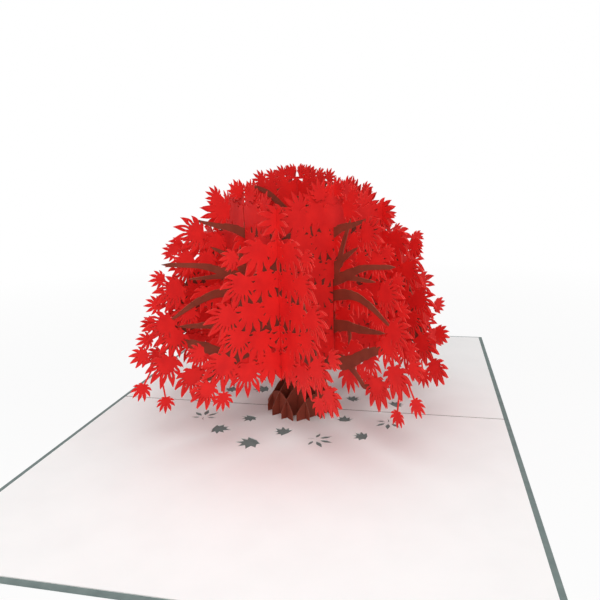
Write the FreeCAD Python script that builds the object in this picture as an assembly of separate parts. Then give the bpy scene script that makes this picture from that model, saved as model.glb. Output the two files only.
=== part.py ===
# Pop-up card, open flat, with a red maple of slotted paper sheets standing on its fold.
# Millimetres. X runs along the fold, Y away from the viewer, Z up from the cover's underside.
# The tree is two sets of upright sheets that cross at right angles, each at 45 degrees to the fold.
# Set a runs along (1, 1) and set b along (1, -1). On a sheet, t is the distance along it from the
# tree's axis, and z is the height above the liner.
import FreeCAD, Part
import math
import os

# Card
FOLD_LENGTH = 178.0
CARD_WIDTH = 254.0
COVER_THICKNESS = 0.4
LINER_THICKNESS = 0.3
LINER_INSET = 2.0
SCORE_WIDTH = 0.6
SCORE_DEPTH = 0.15

# Tree
PAPER = 0.3
SLOT_CLEARANCE = 0.15
SLOT_MOUTH = 1.0
MAIN_REACH = 76.0
MAIN_HEIGHT = 107.0
SIDE_REACH = 68.0
SIDE_HEIGHT = 101.0
CROWN_PITCH = 0.33 * MAIN_REACH
CROWN_SLOT_LEVEL = 0.584 * MAIN_HEIGHT
CROWN_FOOT = 0.187 * MAIN_HEIGHT

# Trunk: height above the liner and half its width there
TRUNK_FOOT = (8.0, 5.0)
TRUNK_MIDDLE = (0.54 * MAIN_HEIGHT, 3.4)
TRUNK_TOP = (0.88 * MAIN_HEIGHT, 1.6)

# Roots: slats whose tops follow one low dome
ROOT_RADIUS = 15.6
ROOT_PITCH = 0.372 * ROOT_RADIUS
DOME_HEIGHT = 18.0
DOME_RADIUS = 1.09 * ROOT_RADIUS
DOME_POWER = 2.2
DOME_STEPS = 4

# Tabs at the trunk sheets' ends, held in slits in the liner
TAB_WIDTH = 2.6
TAB_END_MARGIN = 0.6
TAB_RISE = 1.0
SLIT_CLEARANCE = 0.1

# Leaf: lobes as (angle from the middle lobe, share of the leaf's length), and its notches
LOBES = [(0, 1.0), (42, 0.87), (88, 0.56)]
NOTCH_SHARE = 0.5
STEM_SHARE = 0.2

# Layouts of half a sheet. Places are in percent of the sheet's reach and height.
# Leaves are (t, z, length in mm, lean of the middle lobe from straight down, outwards).
MAIN_MASS = [(0, 32), (60, 34), (80, 38), (77, 52), (68, 68), (62, 77), (54, 80), (40, 87), (24, 92),
             (0, 95)]
MAIN_UNDER = [(25, 35, 10, 0), (44, 25, 10, 0), (60.5, 33, 10.5, 5), (81.5, 33, 11.5, 30),
              (94, 24, 6, 30), (78.5, 45, 11.5, 62), (72.5, 57, 11.5, 65), (65.5, 68, 10.5, 70),
              (58.5, 77, 10.5, 75), (44, 86, 10, 100), (19, 93, 7, 155)]
MAIN_UNDER_STEMS = [[(44, 25, 0.5), (44, 34, 0.5)], [(94, 24, 0.4), (86, 33, 0.4)]]
PATCH_MASS = [(66, 26), (80, 29), (88, 33.5), (82, 48), (75, 61), (64, 74), (58, 78), (60, 74),
              (70, 60), (75, 48), (76, 38), (66, 30)]
MAIN_OVER = [(66.5, 24, 11, 5), (79.5, 30, 11, 12), (83, 18, 5.5, 5), (84.5, 37, 10.5, 45),
             (80.5, 47, 10.5, 50), (73.5, 61, 10.5, 60), (60.5, 77, 10.5, 75)]
MAIN_OVER_STEMS = [[(83, 18, 0.4), (82, 30, 0.4)]]
SIDE_MASS = [(0, 37), (58, 33), (68, 32.5), (76, 37), (69, 53), (60, 64), (50, 75), (38, 85), (24, 92),
             (0, 95)]
SIDE_UNDER = [(10, 39, 10.5, 0), (44, 35, 10.5, 5), (71.5, 38, 10.5, 40), (82, 29.5, 8.5, 40),
              (67.5, 54, 10.5, 55), (59, 65, 10.5, 45), (48, 76, 10.5, 50), (34, 86, 9.2, 100),
              (12, 92, 6.5, 150)]
SIDE_UNDER_STEMS = [[(82, 29.5, 0.5), (74, 36, 0.5)]]
SIDE_OVER = [(28, 37, 10.5, 0), (58.5, 33, 11.5, 5), (72, 23, 5, 10), (71.5, 37, 11, 40),
             (68.5, 55, 11, 50), (58.5, 66, 11, 15), (48, 77, 11, 20), (35, 87, 10, 60)]
SIDE_OVER_STEMS = [[(72, 23, 0.4), (69, 35, 0.4)]]

# Limbs are lists of (t, z, half width in mm) from the inner end to the tip, places as above.
MAIN_LIMBS = [
    [(3, 19, 2.6), (30, 26, 3.0), (44, 28, 2.9), (54, 32, 2.2), (62, 35, 2.0), (72, 37.5, 1.3),
     (82, 36.5, 0.6)],
    [(44, 28, 2.0), (52, 25, 1.3), (58, 22, 1.2), (64, 23.5, 1.1), (70, 24.5, 0.5)],
    [(2, 31, 2.4), (30, 39.5, 2.6), (42, 42, 2.2), (57, 42.5, 1.5), (70, 43.5, 0.7)],
    [(2, 44, 2.2), (16, 49, 2.3), (38, 53, 2.1), (50, 54, 1.7), (62, 52, 1.3), (75, 47.5, 0.6)],
    [(2, 48, 2.0), (32, 57.5, 2.3), (45, 61, 2.0), (57, 64.5, 1.2), (76, 66.5, 0.8)],
    [(43, 60, 1.3), (64, 60.5, 0.5)],
    [(1, 57, 2.0), (34, 63, 2.0), (41, 66.5, 1.4), (51, 70.5, 0.5)],
    [(1, 66, 1.8), (29, 74, 1.9), (40, 77.5, 1.5), (50, 79, 1.0), (59, 81, 0.5)],
    [(0, 78, 1.4), (17, 89, 1.2), (27, 92.5, 0.4)],
]
STRUTS = {"a": [(36.4, 26, 1.6), (36.4, 65, 1.6)],
          "b": [(36.4, 58, 1.6), (36.8, 63, 1.6), (41, 71, 1.2), (46, 78.5, 0.8)]}
SIDE_BOUGH = [(0, 42), (34, 40), (62, 37), (80, 33), (72, 42), (64, 55), (54, 66), (42, 75),
              (30, 81), (16, 83), (0, 84)]

# Leaves cut out of the liner: (X, Y, length, heading of the middle lobe from +X, whether the
# lobes are cut one by one).
CUTOUTS = [
    (-40.5, -17.5, 8.0, 95, True), (-30.5, -28.0, 6.0, 0, False), (-20.0, -14.5, 4.8, 250, False),
    (-13.0, -37.0, 7.0, 230, False), (-1.8, -26.3, 5.4, 150, False), (11.5, -31.0, 8.0, 345, True),
    (21.0, -11.0, 4.8, 100, False), (30.2, -25.3, 5.0, 180, False), (39.3, -10.0, 7.5, 270, True),
    (-23.0, 19.5, 6.2, 200, False), (21.0, 12.6, 4.8, 45, False), (41.1, 9.0, 5.0, 40, False),
    (-38.5, 17.0, 5.0, 210, False),
]
PETAL_INNER = 0.3
PETAL_HALF_ANGLE = 12.0

SET_TURN = {"a": 45.0, "b": -45.0}
SIDE_PLACES = {"near": -CROWN_PITCH, "far": CROWN_PITCH}
ROOT_PLACES = {"near_outer": -2 * ROOT_PITCH, "near_inner": -ROOT_PITCH,
               "far_inner": ROOT_PITCH, "far_outer": 2 * ROOT_PITCH}
BASE_Z = COVER_THICKNESS + LINER_THICKNESS
UP = FreeCAD.Vector(0, 0, 1)
ORIGIN = FreeCAD.Vector()
ABOVE_ALL = 2 * MAIN_HEIGHT


# An upright piece of paper from its outline in (t, z), with its near face at Y = 0.
def upright(points):
    corners = [FreeCAD.Vector(t, 0, z) for t, z in points]
    face = Part.Face(Part.makePolygon(corners + corners[:1]))
    return face.extrude(FreeCAD.Vector(0, PAPER, 0))


# A cut through the liner from its outline in (x, y).
def liner_cut(points):
    corners = [FreeCAD.Vector(x, y, COVER_THICKNESS) for x, y in points]
    face = Part.Face(Part.makePolygon(corners + corners[:1]))
    return face.extrude(LINER_THICKNESS * UP)


def slot(t, width, z_low, z_high):
    corner = FreeCAD.Vector(t - width / 2, -PAPER, z_low)
    return Part.makeBox(width, 3 * PAPER, z_high - z_low, corner)


def mirrored(points):
    return [(-t, z) for t, z in reversed(points)]


def placed(points, reach, height):
    return [(t * reach / 100, z * height / 100) for t, z in points]


# A leaf with its palm at (t, z). Angles are from straight down, turning towards +t.
def leaf_points(t, z, length, lean):
    def at(angle, share):
        turn = math.radians(angle + lean)
        return (t + share * length * math.sin(turn), z - share * length * math.cos(turn))

    lobes = [(-angle, share) for angle, share in LOBES[:0:-1]] + LOBES
    points = [at(180, STEM_SHARE)]
    for (angle, share), (next_angle, next_share) in zip(lobes, lobes[1:]):
        points.append(at(angle, share))
        points.append(at((angle + next_angle) / 2, NOTCH_SHARE * min(share, next_share)))
    points.append(at(*lobes[-1]))
    return points


# The outline of a limb, tapering along its (t, z, half width) points.
def limb_points(limb):
    upper = []
    lower = []
    for i, (t, z, half) in enumerate(limb):
        before = limb[max(i - 1, 0)]
        after = limb[min(i + 1, len(limb) - 1)]
        run_t = after[0] - before[0]
        run_z = after[1] - before[1]
        run = math.hypot(run_t, run_z)
        upper.append((t - half * run_z / run, z + half * run_t / run))
        lower.append((t + half * run_z / run, z - half * run_t / run))
    return lower + upper[::-1]


# Outlines of limbs or stems on the chosen sides of the tree's axis.
def limb_outlines(limbs, reach, height, sides=(1, -1)):
    outlines = []
    for limb in limbs:
        points = limb_points([(t * reach / 100, z * height / 100, half) for t, z, half in limb])
        outlines += [points if side > 0 else mirrored(points) for side in sides]
    return outlines


# One sheet of paper: its outlines joined, its slots cut, and the chips that the slots free dropped.
def sheet(outlines, slots):
    blanks = [upright(points) for points in outlines]
    joined = blanks[0].multiFuse(blanks[1:]).removeSplitter() if len(blanks) > 1 else blanks[0]
    return max(joined.cut(slots).Solids, key=lambda solid: solid.Volume)


# Puts a sheet in its place. Layer 0 is the tree, 1 the leaves behind it, -1 those in front.
def stand(solid, family, offset, layer=0):
    solid.translate(FreeCAD.Vector(0, offset + (layer - 0.5) * PAPER, BASE_Z))
    solid.rotate(ORIGIN, UP, SET_TURN[family])
    return solid


# Crown slots are as wide as the three layers that cross there. Set a is open at the bottom.
def crown_slots(family):
    width = 3 * PAPER + 2 * SLOT_CLEARANCE
    low, high = (CROWN_FOOT, CROWN_SLOT_LEVEL) if family == "a" else (CROWN_SLOT_LEVEL, ABOVE_ALL)
    return [slot(t, width, low, high) for t in (-CROWN_PITCH, 0, CROWN_PITCH)]


def dome_height(radius):
    return DOME_HEIGHT * (1 - (radius / DOME_RADIUS) ** DOME_POWER)


# Slots of a root sheet that stands at this offset from the tree's axis. The outer slats are too
# short to meet each other.
def root_slots(family, offset):
    width = PAPER + 2 * SLOT_CLEARANCE
    slots = []
    for t in ROOT_PLACES.values():
        if math.hypot(t, offset) > ROOT_RADIUS:
            continue
        top = dome_height(math.hypot(t, offset))
        low, high = (0, top / 2) if family == "a" else (top / 2, top + SLOT_MOUTH)
        slots.append(slot(t, width, low, high))
    return slots


# The arched outline of a root sheet at this offset.
def root_arch(offset):
    half = math.sqrt(ROOT_RADIUS ** 2 - offset ** 2)
    arch = []
    for i in range(-DOME_STEPS, DOME_STEPS + 1):
        t = half * math.sin(math.pi / 2 * i / DOME_STEPS)
        arch.append((t, dome_height(math.hypot(t, offset))))
    return [(half, 0), (-half, 0)] + arch


def tab_spans():
    outer = ROOT_RADIUS - TAB_END_MARGIN
    return [(outer - TAB_WIDTH, outer), (-outer, TAB_WIDTH - outer)]


# A trunk sheet: roots, trunk and limbs in one piece, with a strut on each side that ties the limbs
# together beyond the crown slots.
def trunk_sheet(family):
    trunk = [TRUNK_FOOT, TRUNK_MIDDLE, TRUNK_TOP]
    outlines = [root_arch(0), [(half, z) for z, half in trunk] + [(-half, z) for z, half in trunk[::-1]]]
    outlines += limb_outlines(MAIN_LIMBS + [STRUTS[family]], MAIN_REACH, MAIN_HEIGHT)
    for low, high in tab_spans():
        outlines.append([(low, -LINER_THICKNESS), (high, -LINER_THICKNESS), (high, TAB_RISE),
                         (low, TAB_RISE)])
    slots = crown_slots(family) + root_slots(family, 0)
    if family == "a":
        slots.append(slot(0, PAPER + 2 * SLOT_CLEARANCE, 0, CROWN_FOOT))
    return stand(sheet(outlines, slots), family, 0)


def root_slat(family, offset):
    top = dome_height(abs(offset))
    low, high = (0, top / 2) if family == "a" else (top / 2, top + SLOT_MOUTH)
    middle = slot(0, PAPER + 2 * SLOT_CLEARANCE, low, high)
    return stand(sheet([root_arch(offset)], root_slots(family, offset) + [middle]), family, offset)


def bough(family, offset):
    half = placed(SIDE_BOUGH, SIDE_REACH, SIDE_HEIGHT)
    return stand(sheet([half, mirrored(half)], crown_slots(family)), family, offset)


# Outlines of leaves on the chosen sides of the tree's axis.
def leaf_outlines(leaves, reach, height, sides=(1, -1)):
    outlines = []
    for t, z, length, lean in leaves:
        leaf = leaf_points(t * reach / 100, z * height / 100, length, lean)
        outlines += [leaf if side > 0 else mirrored(leaf) for side in sides]
    return outlines


def mass_outlines(mass, reach, height):
    half = placed(mass, reach, height)
    return [half, mirrored(half)]


def middle_leaves(family):
    outlines = mass_outlines(MAIN_MASS, MAIN_REACH, MAIN_HEIGHT)
    outlines += leaf_outlines(MAIN_UNDER, MAIN_REACH, MAIN_HEIGHT)
    outlines += limb_outlines(MAIN_UNDER_STEMS, MAIN_REACH, MAIN_HEIGHT)
    pieces = {"back": stand(sheet(outlines, crown_slots(family)), family, 0, 1)}
    patch = placed(PATCH_MASS, MAIN_REACH, MAIN_HEIGHT)
    for name, side in (("front_right", 1), ("front_left", -1)):
        outlines = [patch if side > 0 else mirrored(patch)]
        outlines += leaf_outlines(MAIN_OVER, MAIN_REACH, MAIN_HEIGHT, [side])
        outlines += limb_outlines(MAIN_OVER_STEMS, MAIN_REACH, MAIN_HEIGHT, [side])
        pieces[name] = stand(sheet(outlines, crown_slots(family)), family, 0, -1)
    return pieces


def side_leaves(family, offset):
    mass = mass_outlines(SIDE_MASS, SIDE_REACH, SIDE_HEIGHT)
    slots = crown_slots(family)
    under = leaf_outlines(SIDE_UNDER, SIDE_REACH, SIDE_HEIGHT)
    under += limb_outlines(SIDE_UNDER_STEMS, SIDE_REACH, SIDE_HEIGHT)
    back = sheet(mass + under, slots)
    over = leaf_outlines(SIDE_OVER, SIDE_REACH, SIDE_HEIGHT)
    over += limb_outlines(SIDE_OVER_STEMS, SIDE_REACH, SIDE_HEIGHT)
    front = sheet(mass + over, slots)
    return {"back": stand(back, family, offset, 1), "front": stand(front, family, offset, -1)}


def tree():
    pieces = {}
    for family in SET_TURN:
        pieces[f"trunk_sheet_{family}"] = trunk_sheet(family)
        for name, piece in middle_leaves(family).items():
            pieces[f"leaves_{family}_middle_{name}"] = piece
        for place, offset in SIDE_PLACES.items():
            pieces[f"bough_{family}_{place}"] = bough(family, offset)
            for name, piece in side_leaves(family, offset).items():
                pieces[f"leaves_{family}_{place}_{name}"] = piece
        for place, offset in ROOT_PLACES.items():
            pieces[f"root_{family}_{place}"] = root_slat(family, offset)
    return pieces


def cover():
    corner = FreeCAD.Vector(-FOLD_LENGTH / 2, -CARD_WIDTH / 2, 0)
    return Part.makeBox(FOLD_LENGTH, CARD_WIDTH, COVER_THICKNESS, corner)


# One lobe cut by itself, as a pointed sliver. Headings are from +X.
def petal_points(x, y, length, heading):
    def at(share, angle):
        turn = math.radians(heading + angle)
        return (x + share * length * math.cos(turn), y + share * length * math.sin(turn))

    middle = (PETAL_INNER + 1) / 2
    return [at(PETAL_INNER, 0), at(middle, -PETAL_HALF_ANGLE), at(1, 0), at(middle, PETAL_HALF_ANGLE)]


def leaf_cuts():
    cuts = []
    for x, y, length, heading, lobe_by_lobe in CUTOUTS:
        if not lobe_by_lobe:
            cuts.append(liner_cut(leaf_points(x, y, length, heading + 90)))
            continue
        for angle, share in LOBES[:0:-1] + [(-angle, share) for angle, share in LOBES]:
            cuts.append(liner_cut(petal_points(x, y, share * length, heading + angle)))
    return cuts


def tab_slits():
    width = PAPER + 2 * SLIT_CLEARANCE
    slits = []
    for turn in SET_TURN.values():
        for low, high in tab_spans():
            corner = FreeCAD.Vector(low - SLIT_CLEARANCE, -width / 2, COVER_THICKNESS)
            slit = Part.makeBox(high - low + 2 * SLIT_CLEARANCE, width, LINER_THICKNESS, corner)
            slit.rotate(ORIGIN, UP, turn)
            slits.append(slit)
    return slits


def liner():
    width = CARD_WIDTH - 2 * LINER_INSET
    length = FOLD_LENGTH - 2 * LINER_INSET
    corner = FreeCAD.Vector(-length / 2, -width / 2, COVER_THICKNESS)
    blank = Part.makeBox(length, width, LINER_THICKNESS, corner)
    score_corner = FreeCAD.Vector(-length / 2, -SCORE_WIDTH / 2, BASE_Z - SCORE_DEPTH)
    score = Part.makeBox(length, SCORE_WIDTH, SCORE_DEPTH, score_corner)
    return blank.cut([score] + tab_slits() + leaf_cuts())


def main():
    os.makedirs("parts", exist_ok=True)
    pieces = {"cover": cover(), "liner": liner()}
    pieces.update(tree())
    for name, piece in pieces.items():
        piece.exportStep(f"parts/{name}.step")


main()
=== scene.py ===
import math
import random
import bpy
from mathutils import Matrix, Vector
from mathutils.geometry import delaunay_2d_cdt


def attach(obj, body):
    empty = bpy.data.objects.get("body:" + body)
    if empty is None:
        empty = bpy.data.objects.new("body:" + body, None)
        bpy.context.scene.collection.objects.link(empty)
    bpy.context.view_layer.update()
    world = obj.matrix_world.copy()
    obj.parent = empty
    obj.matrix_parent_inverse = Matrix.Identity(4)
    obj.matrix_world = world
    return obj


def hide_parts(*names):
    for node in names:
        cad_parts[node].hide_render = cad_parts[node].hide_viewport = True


# Looks of the pop-up card. The frame is the CAD's: X along the fold, Y away from the viewer, Z up.
# Sheets are drawn flat in millimetres, as (t, z): t runs along the sheet from the tree's axis and
# z is the height above the liner. They are then stood up in metres.
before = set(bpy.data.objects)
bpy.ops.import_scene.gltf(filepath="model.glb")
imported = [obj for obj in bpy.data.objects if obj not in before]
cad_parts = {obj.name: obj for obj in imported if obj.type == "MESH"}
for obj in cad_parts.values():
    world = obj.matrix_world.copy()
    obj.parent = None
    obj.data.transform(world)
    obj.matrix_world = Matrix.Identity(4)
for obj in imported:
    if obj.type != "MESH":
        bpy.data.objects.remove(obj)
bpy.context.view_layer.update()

MM = 0.001

# Sizes, as in the part's source, with finer steps along the root arch
FOLD_LENGTH = 178.0
CARD_WIDTH = 254.0
COVER_THICKNESS = 0.4
LINER_THICKNESS = 0.3
LINER_INSET = 2.0
SCORE_WIDTH = 0.6
SCORE_DEPTH = 0.15
PAPER = 0.3
SLOT_CLEARANCE = 0.15
SLOT_MOUTH = 1.0
MAIN_REACH = 76.0
MAIN_HEIGHT = 107.0
SIDE_REACH = 68.0
SIDE_HEIGHT = 101.0
CROWN_PITCH = 0.33 * MAIN_REACH
CROWN_SLOT_LEVEL = 0.584 * MAIN_HEIGHT
CROWN_FOOT = 0.187 * MAIN_HEIGHT
TRUNK = [(0, 0.0, 6.2), (0, 8.0, 5.0), (0, 24.0, 4.4), (0, 57.8, 3.4), (0, 94.2, 1.6)]
ROOT_RADIUS = 15.6
ROOT_PITCH = 0.372 * ROOT_RADIUS
DOME_HEIGHT = 18.0
DOME_RADIUS = 1.09 * ROOT_RADIUS
DOME_POWER = 2.2
DOME_STEPS = 14
TAB_WIDTH = 2.6
TAB_END_MARGIN = 0.6
TAB_RISE = 1.0
SLIT_CLEARANCE = 0.1
ABOVE_ALL = 2 * MAIN_HEIGHT
BASE_Z = COVER_THICKNESS + LINER_THICKNESS
STACK_SLOT = 3 * PAPER + 2 * SLOT_CLEARANCE
SINGLE_SLOT = PAPER + 2 * SLOT_CLEARANCE

# Leaf: lobes as (angle from the middle lobe, share of the leaf's length), and a lobe's half width
# at shares of the way from the palm's edge to its tip. Short lobes are narrower and have a smaller
# palm between them, by the powers, and the side lobes droop towards the middle one.
LOBES = [(0, 1.0), (30, 0.96), (60, 0.84), (93, 0.64), (131, 0.4)]
LOBE_SHAPE = [(0.06, 0.104), (0.25, 0.124), (0.5, 0.1), (0.78, 0.046)]
LOBE_WIDTH_POWER = 0.7
LOBE_DROOP = 0.13
PALM_SHARE = 0.42
PALM_POWER = 0.4
STEM_SHARE = 0.2
STEM_HALF = 0.03
LENS_SHOULDER = 0.8

# Chance changes of a leaf's length, lean, lobe angles and lobe lengths
LENGTH_LUCK = (0.97, 1.04)
LEAN_LUCK = (-6, 6)
ANGLE_LUCK = (-1, 1)
SHARE_LUCK = (0.94, 1.03)

# Layouts of half a sheet, places in percent of its reach and height. Leaves are
# (t, z, length in mm, lean of the middle lobe from straight down, outwards).
MAIN_MASS = [
    (0, 32), (60, 34), (80, 38), (77, 52), (68, 68), (62, 77), (54, 80), (40, 87), (24, 92),
    (0, 95),
]
MAIN_UNDER = [
    (25, 35, 10, 0), (44, 25, 10, 0), (60.5, 33, 10.5, 5), (80.5, 31.5, 11, 22), (94, 24, 6, 30),
    (79, 46, 10.5, 52), (73, 58, 10.5, 62), (65.5, 68, 10, 70), (59.5, 77, 10.5, 75),
    (44, 84, 9, 100), (35, 90.5, 6, 125), (48, 89, 5.5, 110), (9, 34, 10.5, 0), (35, 34, 10, 0),
    (53, 33, 10, 5), (57, 27, 5.5, 0), (67.5, 25, 10.5, 8), (92, 36, 6, 60), (89, 41, 5.5, 80),
    (67, 49, 8.5, 30), (83, 53, 5.5, 95), (80, 62, 5.5, 90), (57, 55, 8.5, 20), (55, 68, 7, 30),
    (73, 71, 5, 90), (49, 74, 8, 35), (21.5, 94.5, 5, 125), (15, 95.5, 4.5, 110),
    (8.5, 96.5, 4.5, 110), (2.5, 97, 4.5, 115), (7, 92.5, 6.5, 75), (15, 91.5, 7, 75),
    (22, 88, 8, 50),
]
MAIN_UNDER_STEMS = [[(44, 25, 0.5), (44, 34, 0.5)], [(94, 24, 0.3), (89, 29.5, 0.3)],
                    [(0, 95, 0.5), (9, 95, 0.5), (16, 94, 0.5), (23, 92, 0.5)]]
MAIN_OVER = [
    (67.5, 25, 10.5, 8), (80.5, 31.5, 11, 22), (83, 17.5, 5.5, 5), (92, 36, 6, 60),
    (79, 46, 10.5, 52), (73, 58, 10.5, 62), (59.5, 77, 10.5, 75), (75.5, 41, 10.5, 20),
]
MAIN_OVER_STEMS = [[(83, 18, 0.3), (84, 24, 0.3)]]
SIDE_MASS = [
    (0, 37), (58, 33), (68, 32.5), (76, 37), (69, 53), (60, 64), (50, 75), (38, 85), (24, 92),
    (0, 95),
]
SIDE_UNDER = [
    (10, 39, 10.5, 0), (44, 35, 10.5, 5), (71.5, 37.5, 11, 40), (82, 29.5, 8.5, 40),
    (68, 54.5, 11, 52), (59, 65.5, 11, 30), (48, 76.5, 11, 30), (35, 86.5, 9.6, 75),
    (12, 92, 6.5, 150), (22, 38, 10.5, 0), (33, 36, 10, 0), (58.5, 38, 10, 5), (85, 43, 5.5, 75),
    (58, 47, 10, 15), (64.5, 46, 9.2, 30), (56, 56, 10, 15), (63, 74, 6, 70), (22, 89, 8.5, 125),
    (2, 93, 6.5, 175),
]
SIDE_UNDER_STEMS = [[(82, 29.5, 0.4), (76, 34, 0.4)]]
SIDE_OVER = [
    (28, 37, 10.5, 0), (58.5, 33, 11.5, 5), (74, 25, 6.2, 10), (71.5, 37.5, 11, 40),
    (68, 54.5, 11, 52), (59, 65.5, 11, 30), (48, 76.5, 11.2, 30), (35, 86.5, 9.6, 75),
    (0, 39, 10.5, 0), (14, 37, 11.2, 0), (43, 35, 11.2, 0), (82, 29.5, 8.5, 40), (0, 50, 11.2, 0),
    (17, 47, 11.2, 0), (33, 46, 11.2, 0), (50, 44, 11.2, 0), (62.5, 46, 10, 20),
    (85, 43, 5.5, 75), (9, 58, 11.2, 0), (26, 57, 11.2, 0), (41, 56, 11.2, 0), (55, 55, 11.2, 5),
    (0, 67, 11.2, 0), (15, 68, 11.2, 0), (31, 67, 11.2, 0), (46, 66, 11.2, 5), (64, 75, 6, 50),
    (7, 78, 11.2, 0), (21, 78, 11.2, 5), (35, 77, 11.2, 10), (0, 88, 11.2, 0), (12, 89, 11.2, 0),
    (24, 87, 11.2, 20), (9, 94, 7, 170),
]
SIDE_OVER_STEMS = [[(74, 25, 0.3), (72.5, 30, 0.3)]]

# Slits along the lobes of leaves that are longer than SLIT_LEAF and stand beyond SLIT_FROM of the
# sheet's reach. They are cut in lobes longer than SLIT_LOBE, between two shares of the lobe.
SLIT_LEAF = 8.4
SLIT_FROM = 0.58
SLIT_LOBE = 0.75
SLIT_LOW = 0.38
SLIT_HIGH = 0.72
SLIT_HALF = 0.03

# The layer behind: a plain core near the tree's axis, rows of leaves out to FIELD_SHARE of the
# mass, and the placed leaves outside them. Loose bits of paper under LEAST_PIECE (mm2) are dropped.
FIELD_SHARE = 0.66
FIELD_LEAF = 9.5
FIELD_PITCH = 12.0
FIELD_ROW = 10.0
FIELD_SHIFT = (-1.6, 1.6)
FIELD_LEAN = 50
FIELD_LEAN_LUCK = (-12, 12)
CORE_SHARE = 0.34
LEAST_PIECE = 12.0

# Limbs are lists of (t, z, half width in mm) from the inner end to the tip, places as above. Their
# edges waver by chance, and the tip runs on by some of the last half widths.
EDGE_LUCK = (0.86, 1.08)
TIP_LENGTH = 4
MAIN_LIMBS = [
    [(3, 19, 2.6), (30, 26, 3.0), (44, 28, 2.9), (54, 32, 2.2), (62, 35, 2.0), (72, 37.5, 1.3),
     (82, 36.5, 0.6)],
    [(44, 28, 2.0), (52, 25, 1.3), (58, 22, 1.2), (64, 23.5, 1.1), (70, 24.5, 0.5)],
    [(2, 31, 2.4), (30, 39.5, 2.6), (42, 42, 2.2), (57, 42.5, 1.5), (70, 43.5, 0.7)],
    [(2, 44, 2.2), (16, 49, 2.3), (38, 53, 2.1), (50, 54, 1.7), (62, 52, 1.3), (75, 47.5, 0.6)],
    [(2, 48, 2.0), (32, 57.5, 2.3), (45, 61, 2.0), (57, 64.5, 1.2), (76, 66.5, 0.8)],
    [(43, 60, 1.3), (64, 60.5, 0.5)],
    [(1, 57, 2.0), (34, 63, 2.0), (41, 66.5, 1.4), (51, 70.5, 0.5)],
    [(1, 66, 1.8), (29, 74, 1.9), (40, 77.5, 1.5), (50, 79, 1.0), (59, 81, 0.5)],
    [(0, 78, 1.4), (17, 89, 1.2), (27, 92.5, 0.4)],
    [(45, 42, 1.0), (46.5, 39, 0.9), (46, 37, 0.5)],
]
STRUTS = {"a": [(36.4, 26, 1.6), (36.4, 65, 1.6)],
          "b": [(36.4, 58, 1.6), (36.8, 63, 1.6), (41, 71, 1.2), (46, 78.5, 0.8)]}
SIDE_BOUGH = [
    (0, 42), (34, 40), (62, 37), (80, 33), (72, 42), (64, 55), (54, 66), (42, 75), (30, 81),
    (16, 83), (0, 84),
]
BOUGH_STEPS = 3

# Leaves cut out of the liner: (X, Y, length, heading of the middle lobe from +X, whether the
# lobes are cut one by one).
CUTOUTS = [
    (-40.5, -17.5, 8.0, 95, True), (-30.5, -28.0, 6.0, 0, False), (-20.0, -14.5, 4.8, 250, False),
    (-13.0, -37.0, 7.0, 230, False), (-1.8, -26.3, 5.4, 150, False), (11.5, -31.0, 8.0, 345, True),
    (21.0, -11.0, 4.8, 100, False), (30.2, -25.3, 5.0, 180, False), (39.3, -10.0, 7.5, 270, True),
    (-23.0, 19.5, 6.2, 200, False), (21.0, 12.6, 4.8, 45, False), (41.1, 9.0, 5.0, 40, False),
    (-38.5, 17.0, 5.0, 210, False),
]
CUT_LOBES = [(0, 1.0), (36, 0.92), (72, 0.84), (110, 0.7)]
CUT_LOBE_LUCK = (0.9, 1.08)
CUT_STEM_SHARE = 0.34
CUT_SHOULDER = 0.8
CUT_SHOULDER_HALF = 0.07
CUT_PALM = 0.6
PETALS = [(0, 1.0), (44, 0.96), (-44, 0.96), (92, 0.72), (-92, 0.72)]
PETAL_FROM = 0.26
PETAL_HALF = 0.13
# The stalk behind the petals: (distance, bend in degrees, half width)
CUT_STALK = [(0, 0, 0.25), (1.6, 0, 0.2), (2.8, 14, 0.12)]

TRUNK_SEED = 11
MAIN_SEED = 5
SIDE_SEED = 17
CUT_SEED = 41

# Joining outlines: the flag that keeps what lies inside them, how near points are welded, and what
# is too small to keep, in mm and mm2.
KEEP_INSIDE = 1
WELD = 1e-5
LEAST_LOOP = 0.02
LEAST_STEP = 0.02
LEAST_BEND = 0.012
NOT_ZERO = 1e-9

# Places of a piece's materials; the third is a dark grey that paints the shade in the liner's score
# line
FACE, EDGE, SCORE_SHADE = range(3)

SET_TURN = {"a": 45.0, "b": -45.0}
SIDE_PLACES = {"near": -CROWN_PITCH, "far": CROWN_PITCH}
ROOT_PLACES = {"near_outer": -2 * ROOT_PITCH, "near_inner": -ROOT_PITCH,
               "far_inner": ROOT_PITCH, "far_outer": 2 * ROOT_PITCH}

# Paper: where the mottle's two colours end, how deep the noises go, and the fibres' height in m
MOTTLE_ENDS = (0.3, 0.7)
MOTTLE_DETAIL = 5
FIBRE_DETAIL = 4
FIBRE_DISTORTION = 1.2
FIBRE_HEIGHT = 0.00005
PAPER_SHINE = 0.25

# Surroundings in metres. The fade's ends are (distance from the card's middle, how much of the
# floor's own white shows there).
FLOOR_HALF = 3.0
FLOOR_GREY = 0.8
FADE_FROM = (0.15, 0.88)
FADE_TO = (0.45, 1.0)
STUDIO_LEVEL = 0.13
SKY_LEVEL = 1.0
# Lamps: name, place, aim, disk's diameter and power
LAMPS = [
    ("front", (0.03, -0.7, 0.16), (0, 0, 0.03), 0.6, 1.25),
    ("key", (0.1, -0.5, 0.5), (0, 0, 0.04), 0.3, 0.9),
    ("top", (0.05, -0.2, 0.9), (0, 0, 0), 2.0, 11.5),
]
CAMERA_PLACE = (0.05245, -0.24254, 0.10502)
CAMERA_AZIMUTH = 12.164
CAMERA_PITCH = 12.431
CAMERA_ROLL = -1.3685
CAMERA_LENS = 35.076
CAMERA_SENSOR = 36.0
CAMERA_NEAR = 0.005
CAMERA_FAR = 50


# Flat outlines


def mirrored(points):
    return [(-t, z) for t, z in reversed(points)]


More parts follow.
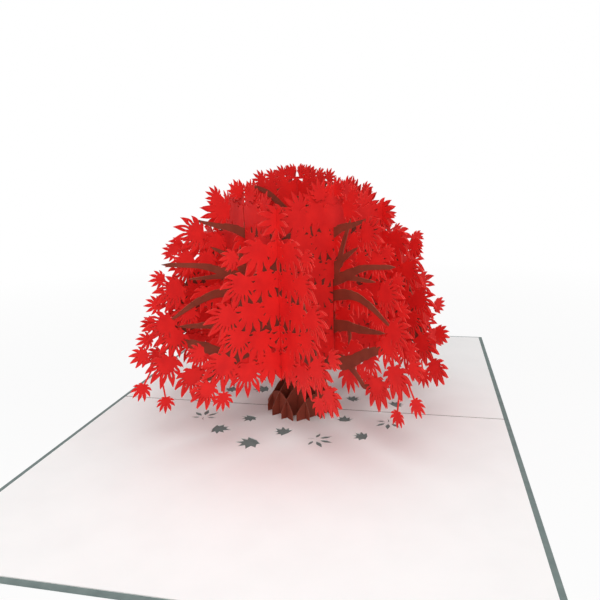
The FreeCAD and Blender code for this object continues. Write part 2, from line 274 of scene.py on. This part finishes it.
def both_sides(outlines, sides=(1, -1)):
    return [points if side > 0 else mirrored(points) for points in outlines for side in sides]


def lens(at, low, high, half, angle):
    middle = (low + high) / 2
    shoulder = (low + middle) / 2
    return [at(low, angle, 0), at(shoulder, angle, -half * LENS_SHOULDER), at(middle, angle, -half),
            at(high, angle, 0), at(middle, angle, half), at(shoulder, angle, half * LENS_SHOULDER)]


# Places on a leaf, from the share of its length, the angle and the share of its length aside
def leaf_frame(t, z, length, lean):
    def at(share, angle, aside):
        turn = math.radians(angle + lean)
        return (t + length * (share * math.sin(turn) + aside * math.cos(turn)),
                z - length * (share * math.cos(turn) - aside * math.sin(turn)))
    return at


def palm_radius(share, other):
    return PALM_SHARE * min(share, other) ** PALM_POWER


# The outline of a leaf, lobe by lobe, which goes in to the palm between them
def leaf_outline(at, drawn):
    points = [at(STEM_SHARE, 180, -STEM_HALF), at(STEM_SHARE, 180, STEM_HALF)]
    for i, (angle, share) in enumerate(drawn):
        before = palm_radius(share, drawn[max(i - 1, 0)][1])
        after = palm_radius(share, drawn[min(i + 1, len(drawn) - 1)][1])
        palm = max(before, after)
        edge = [(palm + (share - palm) * along, angle * (1 - LOBE_DROOP * along ** 2),
                 half * share ** LOBE_WIDTH_POWER) for along, half in LOBE_SHAPE]
        points += [at(radius, toward, -half) for radius, toward, half in edge]
        points.append(at(share, angle * (1 - LOBE_DROOP), 0))
        points += [at(radius, toward, half) for radius, toward, half in edge[::-1]]
        if i + 1 < len(drawn):
            points.append(at(after, (angle + drawn[i + 1][0]) / 2, 0))
    return points


# Outlines of leaves on the chosen sides, and of the slits along the lobes of the outer ones. A
# leaf's luck comes from its place, so that it is cut alike in the layer before and behind.
def leaves(layout, slit_from=ABOVE_ALL, sides=(1, -1)):
    made = []
    slits = []
    for side in sides:
        for t, z, length, lean in layout:
            luck = random.Random(f"{side} {t:.1f} {z:.1f}")
            at = leaf_frame(t, z, length * luck.uniform(*LENGTH_LUCK),
                            lean + luck.uniform(*LEAN_LUCK))
            drawn = [(-angle, share) for angle, share in LOBES[:0:-1]] + LOBES
            drawn = [(angle + luck.uniform(*ANGLE_LUCK), share * luck.uniform(*SHARE_LUCK))
                     for angle, share in drawn]
            outlines = [leaf_outline(at, drawn)]
            if t > slit_from and length > SLIT_LEAF:
                outlines += [lens(at, SLIT_LOW * share, SLIT_HIGH * share, SLIT_HALF, angle)
                             for angle, share in drawn if share > SLIT_LOBE]
            if side < 0:
                outlines = [mirrored(points) for points in outlines]
            made.append(outlines[0])
            slits += outlines[1:]
    return made, slits


def inside(t, z, outline):
    found = False
    for (t0, z0), (t1, z1) in zip(outline, outline[1:] + outline[:1]):
        if (z0 > z) != (z1 > z) and t < t0 + (z - z0) * (t1 - t0) / (z1 - z0):
            found = not found
    return found


# Staggered rows of leaves that fill an outline, with small gaps left between them.
def leaf_field(outline, seed):
    luck = random.Random(seed)
    field = []
    top = max(z for _, z in outline)
    row = 0
    z = min(z for _, z in outline) + FIELD_ROW / 2
    while z < top:
        t = FIELD_PITCH / 2 * (row % 2)
        while t < ABOVE_ALL:
            if inside(t, z, outline):
                lean = FIELD_LEAN * t * z / (MAIN_REACH * MAIN_HEIGHT)
                lean += luck.uniform(*FIELD_LEAN_LUCK)
                field.append((t + luck.uniform(*FIELD_SHIFT), z + luck.uniform(*FIELD_SHIFT),
                              FIELD_LEAF, lean))
            t += FIELD_PITCH
        z += FIELD_ROW
        row += 1
    return field


# A layout's places in millimetres
def placed(points, reach, height):
    return [(p[0] * reach / 100, p[1] * height / 100, *p[2:]) for p in points]


# A Catmull-Rom curve through the points
def smooth(points, steps=5):
    ends = [points[0]] + list(points) + [points[-1]]
    made = []
    for a, b, c, d in zip(ends, ends[1:], ends[2:], ends[3:]):
        for i in range(steps):
            u = i / steps
            made.append(tuple(
                0.5 * (2 * q + (r - p) * u + (2 * p - 5 * q + 4 * r - s) * u * u
                       + (3 * q - p - 3 * r + s) * u ** 3)
                for p, q, r, s in zip(a, b, c, d)))
    return made + [tuple(points[-1])]


# The outline of a limb or stalk. Given its luck, the edges waver and it ends in a point.
def limb(points, luck=None):
    line = smooth(points)
    upper = []
    lower = []
    for i, (t, z, half) in enumerate(line):
        before = line[max(i - 1, 0)]
        after = line[min(i + 1, len(line) - 1)]
        run_t = after[0] - before[0]
        run_z = after[1] - before[1]
        run = math.hypot(run_t, run_z)
        up = half * (luck.uniform(*EDGE_LUCK) if luck else 1)
        down = half * (luck.uniform(*EDGE_LUCK) if luck else 1)
        upper.append((t - up * run_z / run, z + up * run_t / run))
        lower.append((t + down * run_z / run, z - down * run_t / run))
    if luck:
        t, z, half = line[-1]
        tip = (t + TIP_LENGTH * half * run_t / run, z + TIP_LENGTH * half * run_z / run)
        return lower + [tip] + upper[::-1]
    return lower + upper[::-1]


def slot(t, width, low, high):
    half = width / 2
    return [(t - half, low), (t + half, low), (t + half, high), (t - half, high)]


def crown_slots(family):
    low, high = (CROWN_FOOT, CROWN_SLOT_LEVEL) if family == "a" else (CROWN_SLOT_LEVEL, ABOVE_ALL)
    return [slot(t, STACK_SLOT, low, high) for t in (-CROWN_PITCH, 0, CROWN_PITCH)]


def dome_height(radius):
    return DOME_HEIGHT * (1 - (radius / DOME_RADIUS) ** DOME_POWER)


def root_slot(family, t, offset):
    top = dome_height(math.hypot(t, offset))
    low, high = (-SLOT_MOUTH, top / 2) if family == "a" else (top / 2, top + SLOT_MOUTH)
    return slot(t, SINGLE_SLOT, low, high)


# The outer slats are too short to meet each other.
def root_slots(family, offset):
    return [root_slot(family, t, offset) for t in ROOT_PLACES.values()
            if math.hypot(t, offset) <= ROOT_RADIUS]


def root_arch(offset):
    half = math.sqrt(ROOT_RADIUS ** 2 - offset ** 2)
    arch = [(half, 0), (-half, 0)]
    for i in range(-DOME_STEPS, DOME_STEPS + 1):
        t = half * math.sin(math.pi / 2 * i / DOME_STEPS)
        arch.append((t, dome_height(math.hypot(t, offset))))
    return arch


def tab_spans():
    outer = ROOT_RADIUS - TAB_END_MARGIN
    return [(outer - TAB_WIDTH, outer), (-outer, TAB_WIDTH - outer)]


# Joining outlines into one flat sheet


def area(points):
    return sum(a[0] * b[1] - b[0] * a[1] for a, b in zip(points, points[1:] + points[:1])) / 2


# Points and triangles of what the solid outlines cover and the holes leave
def triangulated(solids, holes, lines=()):
    points = []
    faces = []
    edges = []
    for outline in solids + holes:
        start = len(points)
        outline = list(outline) if area(outline) > 0 else list(outline)[::-1]
        points += [Vector(p) for p in outline]
        faces.append(list(range(start, len(points))))
    for line in lines:
        start = len(points)
        points += [Vector(p) for p in line]
        edges += [(start + i, start + i + 1) for i in range(len(line) - 1)]
    places, _, triangles, _, _, origins = delaunay_2d_cdt(points, edges, faces, KEEP_INSIDE, WELD,
                                                          True)
    kept = []
    for corners, sources in zip(triangles, origins):
        if sources and max(sources) < len(solids):
            corners = tuple(corners)
            if area([places[i] for i in corners]) < 0:
                corners = corners[::-1]
            kept.append(corners)
    return [tuple(p) for p in places], kept


# Edges that only one triangle has, in its direction
def rim_edges(triangles):
    directed = {(a, b) for tri in triangles for a, b in zip(tri, tri[1:] + tri[:1])}
    return sorted((a, b) for a, b in directed if (b, a) not in directed)


# The triangles of the biggest connected piece, and of other large ones where loose ones may stay
# because they are glued to the sheet behind or before
def biggest(points, triangles, loose):
    by_edge = {}
    for i, tri in enumerate(triangles):
        for a, b in zip(tri, tri[1:] + tri[:1]):
            by_edge.setdefault((min(a, b), max(a, b)), []).append(i)
    near = [[] for _ in triangles]
    for found in by_edge.values():
        for i in found:
            near[i] += [j for j in found if j != i]
    seen = set()
    groups = []
    for i in range(len(triangles)):
        if i in seen:
            continue
        seen.add(i)
        group = [i]
        for j in group:
            for k in near[j]:
                if k not in seen:
                    seen.add(k)
                    group.append(k)
        groups.append((sum(area([points[c] for c in triangles[j]]) for j in group), group))
    groups.sort(key=lambda g: -g[0])
    least = LEAST_PIECE if loose else groups[0][0]
    return [triangles[j] for size, group in groups if size == groups[0][0] or size > least
            for j in group]


# The rim as closed loops: outer ones turn left, holes turn right
def rim_loops(points, triangles):
    onward = {}
    for a, b in rim_edges(triangles):
        onward.setdefault(a, []).append(b)
    loops = []
    while onward:
        start = next(iter(onward))
        loop = [start]
        at = start
        while True:
            after = onward[at].pop()
            if not onward[at]:
                del onward[at]
            if after == start:
                break
            loop.append(after)
            at = after
        loops.append(thinned([points[i] for i in loop]))
    return [loop for loop in loops if len(loop) > 2 and abs(area(loop)) > LEAST_LOOP]


# A loop without the points that its shape doesn't need
def thinned(loop):
    kept = []
    for i, p in enumerate(loop):
        a = kept[-1] if kept else loop[-1]
        b = loop[(i + 1) % len(loop)]
        run = math.hypot(b[0] - a[0], b[1] - a[1])
        if math.hypot(p[0] - a[0], p[1] - a[1]) < LEAST_STEP:
            continue
        twice_area = abs((b[0] - a[0]) * (p[1] - a[1]) - (b[1] - a[1]) * (p[0] - a[0]))
        if twice_area / max(run, NOT_ZERO) > LEAST_BEND or run < LEAST_STEP:
            kept.append(p)
    return kept


def one_sheet(solids, holes, lines=(), loose=False):
    points, triangles = triangulated(solids, holes)
    triangles = biggest(points, triangles, loose)
    loops = rim_loops(points, triangles)
    outer = [loop for loop in loops if area(loop) > 0]
    inner = [loop for loop in loops if area(loop) < 0]
    return triangulated(outer, inner, lines)


# Standing a flat sheet up


# A flat sheet with thickness. place gives the spot of (x, y) on face 0 or face 1, and the last
# argument, if given, picks the faces that take the painted shade of a score line.
def solid_mesh(name, flat, place, materials, score_shade=None):
    points, triangles = flat
    used = sorted({i for tri in triangles for i in tri})
    index = {i: n for n, i in enumerate(used)}
    count = len(used)
    verts = [place(*points[i], 0) for i in used] + [place(*points[i], 1) for i in used]
    faces = [tuple(index[i] for i in tri) for tri in triangles]
    faces += [tuple(index[i] + count for i in tri[::-1]) for tri in triangles]
    caps = len(faces)
    for start, end in rim_edges(triangles):
        a, b = index[start], index[end]
        faces.append((a, a + count, b + count, b))
    mesh = bpy.data.meshes.new(name)
    mesh.from_pydata(verts, [], faces)
    for material in materials:
        mesh.materials.append(material)
    looks = [FACE] * caps + [EDGE] * (len(faces) - caps)
    if score_shade:
        for i, tri in enumerate(triangles):
            if score_shade([points[c] for c in tri]):
                looks[i] = SCORE_SHADE
    mesh.polygons.foreach_set("material_index", looks)
    mesh.update()
    piece = bpy.data.objects.new(name, mesh)
    bpy.context.scene.collection.objects.link(piece)
    return piece


# Layer 0 is the middle of a sheet at the offset, 1 the one behind it and -1 the one before it.
def stand(node, flat, family, offset, layer, materials):
    turn = math.radians(SET_TURN[family])
    near = offset + (layer - 0.5) * PAPER

    def place(t, z, side):
        y = near + side * PAPER
        return (MM * (t * math.cos(turn) - y * math.sin(turn)),
                MM * (t * math.sin(turn) + y * math.cos(turn)), MM * (z + BASE_Z))

    piece = solid_mesh(node + "_paper", flat, place, materials)
    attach(piece, "root")
    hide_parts(node)


# The card's sheets


def trunk_flat(family):
    luck = random.Random(TRUNK_SEED)
    outlines = [root_arch(0), limb(TRUNK)]
    for points in MAIN_LIMBS + [STRUTS[family]]:
        outlines += both_sides([limb(placed(points, MAIN_REACH, MAIN_HEIGHT), luck)])
    for near, far in tab_spans():
        outlines.append([(near, -LINER_THICKNESS), (far, -LINER_THICKNESS), (far, TAB_RISE),
                         (near, TAB_RISE)])
    slots = crown_slots(family) + root_slots(family, 0)
    if family == "a":
        slots.append(slot(0, SINGLE_SLOT, -SLOT_MOUTH, CROWN_FOOT))
    return one_sheet(outlines, slots)


def root_flat(family, offset):
    slots = root_slots(family, offset) + [root_slot(family, 0, offset)]
    return one_sheet([root_arch(offset)], slots)


def bough_flat(family):
    half = smooth(placed(SIDE_BOUGH, SIDE_REACH, SIDE_HEIGHT), BOUGH_STEPS)
    return one_sheet(both_sides([half]), crown_slots(family))


def mass_and_leaves(mass, layout, stems, reach, height, seed, family):
    whole = placed(mass, reach, height)
    core = [(t * CORE_SHARE, z) for t, z in whole]
    field = leaf_field([(t * FIELD_SHARE, z) for t, z in whole], seed)
    made, slits = leaves(placed(layout, reach, height) + field, SLIT_FROM * reach)
    stalks = both_sides([limb(placed(points, reach, height)) for points in stems])
    return one_sheet(both_sides([core]) + made + stalks, crown_slots(family) + slits, loose=True)


def patch_flat(family, side):
    made, slits = leaves(placed(MAIN_OVER, MAIN_REACH, MAIN_HEIGHT), SLIT_FROM * MAIN_REACH, [side])
    stems = [limb(placed(points, MAIN_REACH, MAIN_HEIGHT)) for points in MAIN_OVER_STEMS]
    return one_sheet(made + both_sides(stems, [side]), crown_slots(family) + slits, loose=True)


def side_over_flat(family):
    made, slits = leaves(placed(SIDE_OVER, SIDE_REACH, SIDE_HEIGHT), SLIT_FROM * SIDE_REACH)
    stems = [limb(placed(points, SIDE_REACH, SIDE_HEIGHT)) for points in SIDE_OVER_STEMS]
    return one_sheet(made + both_sides(stems), crown_slots(family) + slits, loose=True)


def build_tree(red, brown, shaded_bough_brown):
    for family in SET_TURN:
        stand(f"trunk_sheet_{family}", trunk_flat(family), family, 0, 0, brown)
        behind = mass_and_leaves(MAIN_MASS, MAIN_UNDER, MAIN_UNDER_STEMS, MAIN_REACH, MAIN_HEIGHT,
                                 MAIN_SEED, family)
        stand(f"leaves_{family}_middle_back", behind, family, 0, 1, red)
        for name, side in (("front_right", 1), ("front_left", -1)):
            stand(f"leaves_{family}_middle_{name}", patch_flat(family, side), family, 0, -1,
                  red)
        bough = bough_flat(family)
        back = mass_and_leaves(SIDE_MASS, SIDE_UNDER, SIDE_UNDER_STEMS, SIDE_REACH, SIDE_HEIGHT,
                               SIDE_SEED, family)
        front = side_over_flat(family)
        for place, offset in SIDE_PLACES.items():
            # The boughs take the darker brown of painted shade
            stand(f"bough_{family}_{place}", bough, family, offset, 0, shaded_bough_brown)
            stand(f"leaves_{family}_{place}_back", back, family, offset, 1, red)
            stand(f"leaves_{family}_{place}_front", front, family, offset, -1, red)
        for place, offset in ROOT_PLACES.items():
            stand(f"root_{family}_{place}", root_flat(family, offset), family, offset, 0,
                  brown)


# One lobe of a leaf whose lobes are cut out one by one
def petal(x, y, length, heading):
    return lens(leaf_frame(x, y, length, heading + 90), PETAL_FROM, 1.0, PETAL_HALF, 0)


def stalk(x, y, heading):
    points = []
    for run, bend, half in CUT_STALK:
        turn = math.radians(heading + bend)
        points.append((x + run * math.cos(turn), y + run * math.sin(turn), half))
    return limb(points)


# A leaf cut out of the liner in one piece, with a broad palm and short pointed lobes.
def leaf_hole(x, y, length, heading, luck):
    at = leaf_frame(x, y, length, heading + 90)
    drawn = [(-angle, share) for angle, share in CUT_LOBES[:0:-1]] + CUT_LOBES
    points = [at(CUT_STEM_SHARE, 180, 0)]
    for i, (angle, share) in enumerate(drawn):
        share *= luck.uniform(*CUT_LOBE_LUCK)
        shoulder = CUT_SHOULDER * share
        points += [at(shoulder, angle, -CUT_SHOULDER_HALF), at(share, angle, 0),
                   at(shoulder, angle, CUT_SHOULDER_HALF)]
        if i + 1 < len(drawn):
            points.append(at(CUT_PALM * share, (angle + drawn[i + 1][0]) / 2, 0))
    return points


def liner_cuts():
    luck = random.Random(CUT_SEED)
    cuts = []
    for x, y, length, heading, lobe_by_lobe in CUTOUTS:
        if not lobe_by_lobe:
            cuts.append(leaf_hole(x, y, length, heading, luck))
            continue
        cuts += [petal(x, y, share * length, heading + angle) for angle, share in PETALS]
        cuts.append(stalk(x, y, heading + 180))
    return cuts


# Slits in the liner for the trunk sheets' tabs
def tab_slits():
    slits = []
    for degrees in SET_TURN.values():
        turn = math.radians(degrees)
        for low, high in tab_spans():
            half = PAPER / 2 + SLIT_CLEARANCE
            corners = slot((low + high) / 2, high - low + 2 * SLIT_CLEARANCE, -half, half)
            slits.append([(t * math.cos(turn) - y * math.sin(turn),
                           t * math.sin(turn) + y * math.cos(turn)) for t, y in corners])
    return slits


def build_liner(paper):
    half_x = FOLD_LENGTH / 2 - LINER_INSET
    half_y = CARD_WIDTH / 2 - LINER_INSET
    blank = [(-half_x, -half_y), (half_x, -half_y), (half_x, half_y), (-half_x, half_y)]
    lines = [[(-half_x, y), (half_x, y)] for y in (-SCORE_WIDTH / 2, 0, SCORE_WIDTH / 2)]
    flat = one_sheet([blank], tab_slits() + liner_cuts(), lines)

    # The underside is flat, and the top dips along the middle line of the score.
    def place(x, y, side):
        if side:
            return (MM * x, MM * y, MM * COVER_THICKNESS)
        depth = SCORE_DEPTH if abs(y) < SCORE_WIDTH / 4 else 0
        return (MM * x, MM * y, MM * (BASE_Z - depth))

    # The top's faces along the score take a dark grey: painted shade of the score line
    def score_shade(corners):
        return all(abs(y) < SCORE_WIDTH for _, y in corners)

    piece = solid_mesh("liner_sheet", flat, place, paper, score_shade)
    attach(piece, "root")
    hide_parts("liner")


# Materials


# Paper that is mottled between two colours and has fine raised fibres
def paper_material(name, low, high, roughness, mottle=160, fibre=2400, lift=0.25):
    material = bpy.data.materials.new(name)
    material.use_nodes = True
    nodes = material.node_tree.nodes
    links = material.node_tree.links
    shader = nodes["Principled BSDF"]
    place = nodes.new("ShaderNodeTexCoord")
    cloud = nodes.new("ShaderNodeTexNoise")
    cloud.inputs["Scale"].default_value = mottle
    cloud.inputs["Detail"].default_value = MOTTLE_DETAIL
    ramp = nodes.new("ShaderNodeValToRGB")
    for end, position, color in zip(ramp.color_ramp.elements, MOTTLE_ENDS, (low, high)):
        end.position = position
        end.color = (*color, 1)
    grain = nodes.new("ShaderNodeTexNoise")
    grain.inputs["Scale"].default_value = fibre
    grain.inputs["Detail"].default_value = FIBRE_DETAIL
    grain.inputs["Distortion"].default_value = FIBRE_DISTORTION
    bump = nodes.new("ShaderNodeBump")
    bump.inputs["Strength"].default_value = lift
    bump.inputs["Distance"].default_value = FIBRE_HEIGHT
    links.new(place.outputs["Object"], cloud.inputs["Vector"])
    links.new(place.outputs["Object"], grain.inputs["Vector"])
    links.new(cloud.outputs["Fac"], ramp.inputs["Fac"])
    links.new(ramp.outputs["Color"], shader.inputs["Base Color"])
    links.new(grain.outputs["Fac"], bump.inputs["Height"])
    links.new(bump.outputs["Normal"], shader.inputs["Normal"])
    shader.inputs["Roughness"].default_value = roughness
    shader.inputs["Specular IOR Level"].default_value = PAPER_SHINE
    return material


# The cut edges are a lighter red: a painted highlight of edges catching the light
def red_paper():
    return [paper_material("red_paper", (0.66, 0.010, 0.010), (0.80, 0.016, 0.013), 0.6),
            paper_material("red_paper_edge_highlight", (0.78, 0.04, 0.03), (0.86, 0.06, 0.05), 0.75)]


# A lighter brown for cut edges: a painted highlight of edges catching the light
def brown_edge_highlight(name):
    return paper_material(name, (0.28, 0.08, 0.05), (0.34, 0.11, 0.07), 0.8)


def brown_paper():
    return [paper_material("brown_paper", (0.20, 0.034, 0.018), (0.27, 0.050, 0.027), 0.7),
            brown_edge_highlight("brown_paper_edge_highlight")]


# The brown paper made darker for the boughs: painted shade for the shadow between the leaf layers
def bough_paper_painted_shade():
    return [paper_material("bough_paper_painted_shade", (0.12, 0.021, 0.012), (0.16, 0.030, 0.017), 0.7),
            brown_edge_highlight("bough_paper_edge")]


# White liner paper, its cut edges, and a dark grey that paints the shade along the score
def liner_paper():
    return [paper_material("liner_paper", (0.93, 0.925, 0.92), (0.96, 0.955, 0.95), 0.7, 60, 1800),
            paper_material("liner_paper_edge", (0.72, 0.71, 0.69), (0.78, 0.77, 0.75), 0.8),
            paper_material("liner_score_painted_shade", (0.24, 0.22, 0.215), (0.34, 0.31, 0.30), 0.85)]


def cover_card():
    return paper_material("cover_card", (0.145, 0.19, 0.185), (0.19, 0.24, 0.23), 0.75, 240, 1500,
                          0.35)


def dress_cover(card):
    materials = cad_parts["cover"].data.materials
    materials.clear()
    materials.append(card)


# Surroundings


# 1 for rays that come from the camera, straight or by way of a mirror or glass.
def seen_directly(nodes, links, path):
    level = path.outputs["Is Camera Ray"]
    for name in ("Is Glossy Ray", "Is Transmission Ray"):
        either = nodes.new("ShaderNodeMath")
        either.operation = "MAXIMUM"
        links.new(level, either.inputs[0])
        links.new(path.outputs[name], either.inputs[1])
        level = either.outputs[0]
    return level


def build_floor():
    mesh = bpy.data.meshes.new("floor")
    half = FLOOR_HALF
    mesh.from_pydata([(-half, -half, 0), (half, -half, 0), (half, half, 0), (-half, half, 0)], [],
                     [(0, 1, 2, 3)])
    mesh.materials.append(floor_material())
    floor = bpy.data.objects.new("floor", mesh)
    bpy.context.scene.collection.objects.link(floor)


# A plain pale floor that takes shadows near the card, and is seen as even white far from it
def floor_material():
    material = bpy.data.materials.new("floor")
    material.use_nodes = True
    nodes = material.node_tree.nodes
    links = material.node_tree.links
    nodes.clear()
    out = nodes.new("ShaderNodeOutputMaterial")
    diffuse = nodes.new("ShaderNodeBsdfDiffuse")
    diffuse.inputs["Color"].default_value = (FLOOR_GREY, FLOOR_GREY, FLOOR_GREY, 1)
    glow = nodes.new("ShaderNodeEmission")
    glow.inputs["Color"].default_value = (1, 1, 1, 1)
    glow.inputs["Strength"].default_value = 1.0
    mix = nodes.new("ShaderNodeMixShader")
    path = nodes.new("ShaderNodeLightPath")
    place = nodes.new("ShaderNodeTexCoord")
    away = nodes.new("ShaderNodeVectorMath")
    away.operation = "LENGTH"
    fade = nodes.new("ShaderNodeMapRange")
    for end, (distance, level) in (("Min", FADE_FROM), ("Max", FADE_TO)):
        fade.inputs["From " + end].default_value = distance
        fade.inputs["To " + end].default_value = level
    share = nodes.new("ShaderNodeMath")
    share.operation = "MULTIPLY"
    links.new(place.outputs["Object"], away.inputs[0])
    links.new(away.outputs["Value"], fade.inputs["Value"])
    links.new(fade.outputs["Result"], share.inputs[1])
    links.new(seen_directly(nodes, links, path), share.inputs[0])
    links.new(share.outputs[0], mix.inputs["Fac"])
    links.new(diffuse.outputs[0], mix.inputs[1])
    links.new(glow.outputs[0], mix.inputs[2])
    links.new(mix.outputs[0], out.inputs["Surface"])
    return material


# White where it is seen, and weak as a light
def build_world():
    world = bpy.data.worlds.new("studio")
    bpy.context.scene.world = world
    world.use_nodes = True
    nodes = world.node_tree.nodes
    links = world.node_tree.links
    back = nodes["Background"]
    back.inputs["Color"].default_value = (1, 1, 1, 1)
    path = nodes.new("ShaderNodeLightPath")
    level = nodes.new("ShaderNodeMapRange")
    level.inputs["To Min"].default_value = STUDIO_LEVEL
    level.inputs["To Max"].default_value = SKY_LEVEL
    links.new(seen_directly(nodes, links, path), level.inputs["Value"])
    links.new(level.outputs["Result"], back.inputs["Strength"])


def build_lamp(name, place, aim, size, power):
    data = bpy.data.lights.new(name, "AREA")
    data.shape = "DISK"
    data.size = size
    data.energy = power
    lamp = bpy.data.objects.new(name, data)
    lamp.location = place
    lamp.rotation_mode = "QUATERNION"
    lamp.rotation_quaternion = (Vector(aim) - Vector(place)).to_track_quat("-Z", "Y")
    bpy.context.scene.collection.objects.link(lamp)


# The camera stands where the photograph's did, worked out from the card's edges and the fold.
def build_camera():
    azimuth = math.radians(CAMERA_AZIMUTH)
    pitch = math.radians(CAMERA_PITCH)
    roll = math.radians(CAMERA_ROLL)
    forward = Vector((-math.sin(azimuth) * math.cos(pitch), math.cos(azimuth) * math.cos(pitch),
                      -math.sin(pitch)))
    right = Vector((math.cos(azimuth), math.sin(azimuth), 0))
    up = right.cross(forward)
    right, up = (math.cos(roll) * right + math.sin(roll) * up,
                 math.cos(roll) * up - math.sin(roll) * right)
    data = bpy.data.cameras.new("camera")
    data.lens = CAMERA_LENS
    data.sensor_width = CAMERA_SENSOR
    data.clip_start = CAMERA_NEAR
    data.clip_end = CAMERA_FAR
    camera = bpy.data.objects.new("camera", data)
    turned = Matrix((right, up, -forward)).transposed().to_4x4()
    camera.matrix_world = Matrix.Translation(CAMERA_PLACE) @ turned
    bpy.context.scene.collection.objects.link(camera)
    bpy.context.scene.camera = camera


build_camera()
build_world()
build_floor()
for lamp in LAMPS:
    build_lamp(*lamp)
bpy.context.scene.view_settings.view_transform = "Standard"

dress_cover(cover_card())
build_liner(liner_paper())
build_tree(red_paper(), brown_paper(), bough_paper_painted_shade())

bpy.context.view_layer.update()
